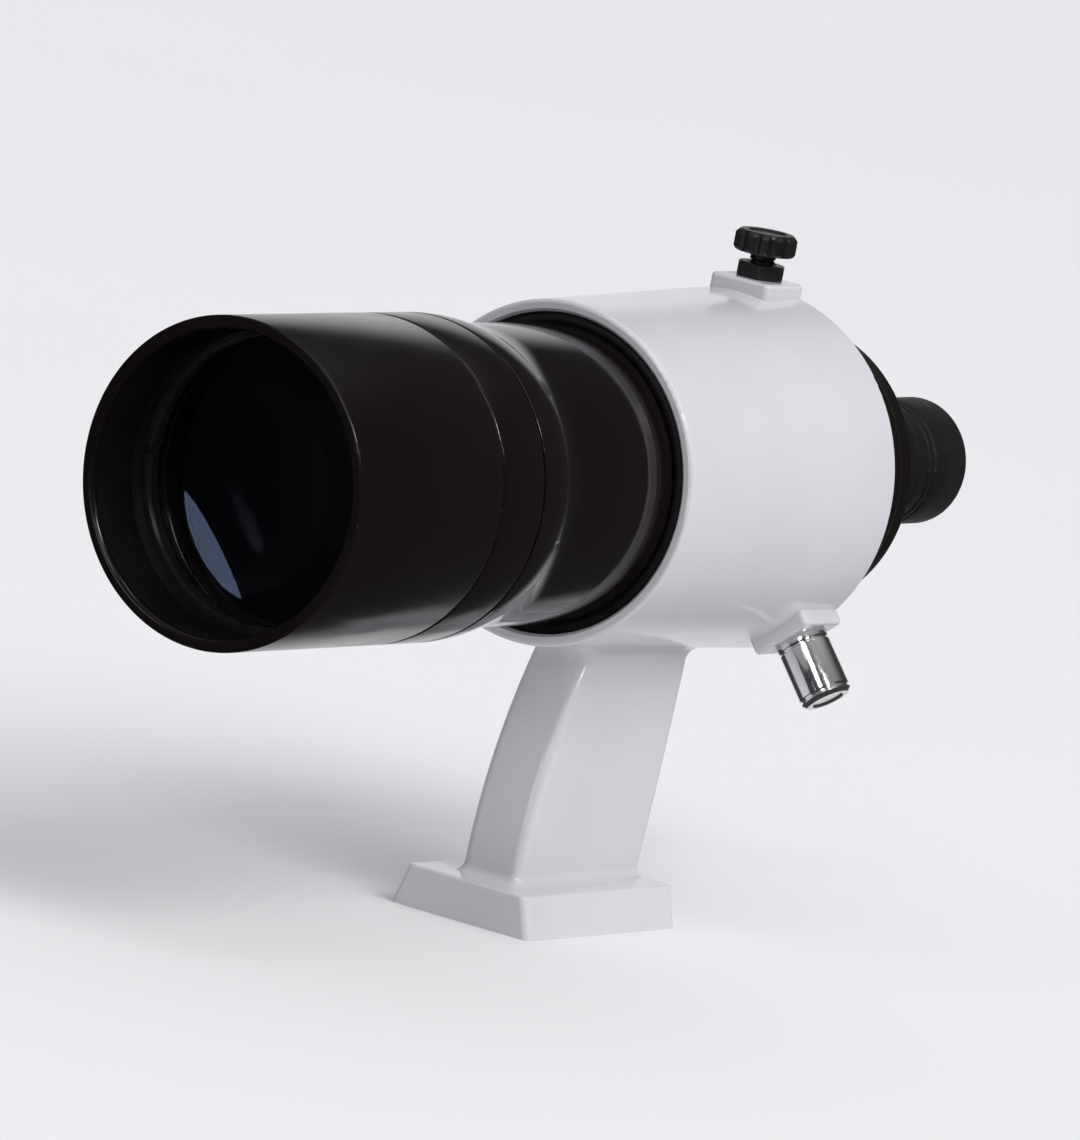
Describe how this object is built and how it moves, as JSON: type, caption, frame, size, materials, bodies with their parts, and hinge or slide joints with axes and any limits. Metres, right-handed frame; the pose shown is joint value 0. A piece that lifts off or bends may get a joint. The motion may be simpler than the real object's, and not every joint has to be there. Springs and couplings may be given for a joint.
{
  "type": "finder scope",
  "caption": "Straight-through finder scope: glossy black tube with focusing objective cell and eyepiece in a white cast ring bracket with alignment screws, spring plunger and dovetail foot.",
  "frame": {"origin": "centre of the dovetail foot's underside", "axes": "+X along the optical axis from objective to eyepiece, +Y to the side screw, +Z from the foot up to the tube"},
  "size_m": [0.241, 0.0816, 0.1325],
  "materials": {
    "white_enamel": "satin-gloss enamel over cast aluminium",
    "gloss_black_tube": "high-gloss black paint on drawn aluminium",
    "gloss_black_cell": "gloss black outside, flat black inside",
    "gloss_black_ring": "gloss black anodised",
    "flat_black": "flat anti-reflection black",
    "satin_black_cap": "satin black",
    "satin_black_eyepiece": "satin black moulding",
    "reticle_wire": "fine drawn wire",
    "eyepiece_glass": "coated",
    "objective_glass": "blue-coated",
    "eyecup_rubber": "soft matt",
    "ring_rubber": "smooth matt",
    "black_screw": "black oxide",
    "white_nylon": "turned nylon",
    "plunger_chrome": "bright plated",
    "plunger_steel": "turned",
    "spring_steel": "drawn wire"
  },
  "bodies": {
    "bracket_body": {"bracket": "white_enamel", "plunger_housing": "plunger_chrome", "plunger_spring": "spring_steel"},
    "pivot_ring": {"o_ring": "ring_rubber"},
    "scope": {"main_tube": "gloss_black_tube", "tube_baffle": "flat_black", "rear_cap": "satin_black_cap", "eyepiece_barrel": "satin_black_eyepiece", "reticle_ring": "flat_black", "crosshair_wires": "reticle_wire", "field_lens": "eyepiece_glass", "eyepiece_spacer": "flat_black", "eye_lens": "eyepiece_glass", "eyepiece_retainer": "satin_black_eyepiece", "eyecup": "eyecup_rubber"},
    "lens_group": {"crown_lens": "objective_glass", "lens_spacer": "flat_black", "flint_lens": "objective_glass"},
    "cell": {"objective_cell": "gloss_black_cell", "lens_retaining_ring": "flat_black"},
    "focus_lock": {"lock_ring": "gloss_black_ring"},
    "top_tip": {"top_screw_tip": "white_nylon"},
    "top_screw": {"top_thumb_screw": "black_screw"},
    "top_nut": {"top_lock_nut": "black_screw"},
    "side_tip": {"side_screw_tip": "white_nylon"},
    "side_screw": {"side_thumb_screw": "black_screw"},
    "side_nut": {"side_lock_nut": "black_screw"},
    "plunger_collar": {"plunger_collar": "plunger_steel"},
    "plunger_pin": {"plunger_pin": "plunger_steel"}
  },
  "joints": [
    {"name": "tilt_pitch", "type": "hinge", "parent": "bracket_body", "child": "pivot_ring", "pos_m": [-0.0225, 0, 0.0865], "axis": [0, 1, 0], "range_deg": [-1.6, 1.6]},
    {"name": "tilt_yaw", "type": "hinge", "parent": "pivot_ring", "child": "scope", "pos_m": [-0.0225, 0, 0.0865], "axis": [0, 0, -1], "range_deg": [-1.6, 1.6]},
    {"name": "top_screw_feed", "type": "slide", "parent": "bracket_body", "child": "top_tip", "axis": [0, 0, -1], "range_m": [-0.00175, 0.00175]},
    {"name": "top_screw_turn", "type": "hinge", "parent": "top_tip", "child": "top_screw", "pos_m": [0.039, 0, 0.1305], "axis": [0, 0, -1], "range_deg": [-780, 780]},
    {"name": "side_screw_feed", "type": "slide", "parent": "bracket_body", "child": "side_tip", "axis": [0, -1, 0], "range_m": [-0.00175, 0.00175]},
    {"name": "side_screw_turn", "type": "hinge", "parent": "side_tip", "child": "side_screw", "pos_m": [0.039, 0.044, 0.0865], "axis": [0, -1, 0], "range_deg": [-780, 780]},
    {"name": "plunger_collar_slide", "type": "slide", "parent": "bracket_body", "child": "plunger_collar", "axis": [0, -0.6428, -0.766], "range_m": [-0.00135, 0.00135], "deforming": ["plunger_spring"]},
    {"name": "plunger_pin_slide", "type": "slide", "parent": "plunger_collar", "child": "plunger_pin", "axis": [0, -0.6428, -0.766], "range_m": [-0.00115, 0.00115]},
    {"name": "top_nut_turn", "type": "hinge", "parent": "bracket_body", "child": "top_nut", "pos_m": [0.039, 0, 0.1305], "axis": [0, 0, 1], "range_deg": [0, 90]},
    {"name": "side_nut_turn", "type": "hinge", "parent": "bracket_body", "child": "side_nut", "pos_m": [0.039, 0.044, 0.0865], "axis": [0, 1, 0], "range_deg": [0, 90]},
    {"name": "focus_slide", "type": "slide", "parent": "scope", "child": "lens_group", "axis": [-1, 0, 0], "range_m": [0, 0.00401]},
    {"name": "focus_turn", "type": "hinge", "parent": "lens_group", "child": "cell", "pos_m": [-0.1, 0, 0.0865], "axis": [-1, 0, 0], "range_deg": [0, 1440]},
    {"name": "lock_ring_turn", "type": "hinge", "parent": "scope", "child": "focus_lock", "pos_m": [-0.078, 0, 0.0865], "axis": [1, 0, 0], "range_deg": [0, 90]}
  ],
  "couplings": [
    {"joint": "top_screw_feed", "follows": "tilt_pitch", "m_per_rad": 0.0615},
    {"joint": "top_screw_turn", "follows": "tilt_pitch", "ratio": 483.02},
    {"joint": "side_screw_feed", "follows": "tilt_yaw", "m_per_rad": 0.0615},
    {"joint": "side_screw_turn", "follows": "tilt_yaw", "ratio": 483.02},
    {"joint": "plunger_collar_slide", "follows": "tilt_pitch", "m_per_rad": 0.047112},
    {"joint": "plunger_pin_slide", "follows": "tilt_yaw", "m_per_rad": 0.039531},
    {"joint": "focus_slide", "follows": "focus_turn", "m_per_rad": 0.00015915}
  ]
}
